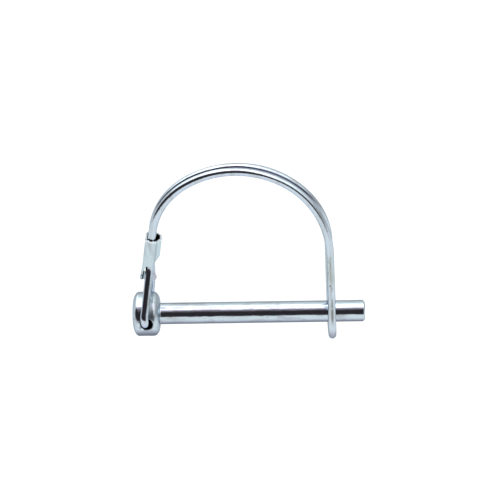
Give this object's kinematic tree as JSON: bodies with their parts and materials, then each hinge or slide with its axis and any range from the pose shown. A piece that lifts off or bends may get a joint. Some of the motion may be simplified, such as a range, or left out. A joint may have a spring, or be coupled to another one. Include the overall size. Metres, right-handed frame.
{
  "type": "hitch pin lock",
  "caption": "Headed round pin with a double-strand spring-wire bow that hinges in the head and snaps over the tip; a crimped clip ties the strands.",
  "frame": {"origin": "on the shank's axis, in the plane of the head's underside", "axes": "+X along the shank from the head to the tip, +Z from the shank to the top of the bow, +Y square to the bow's plane towards the rear strand"},
  "size_m": [0.0683, 0.018, 0.0569],
  "materials": {
    "pin_zinc": "bright zinc plate, polished, faintly blue",
    "wire_zinc": "bright zinc plate on drawn spring wire",
    "clip_zinc": "bright zinc plate on folded sheet, slightly duller"
  },
  "bodies": {
    "pin": {"pin": "pin_zinc"},
    "bow": {"bow_wire": "wire_zinc", "clip": "clip_zinc"}
  },
  "joints": [
    {"name": "bow_swing", "type": "hinge", "parent": "pin", "child": "bow", "pos_m": [-0.00362, 0, 0.00055], "axis": [-0.0698, -0.9976, 0], "range_deg": [0, 180], "deforming": ["bow_wire"]}
  ]
}
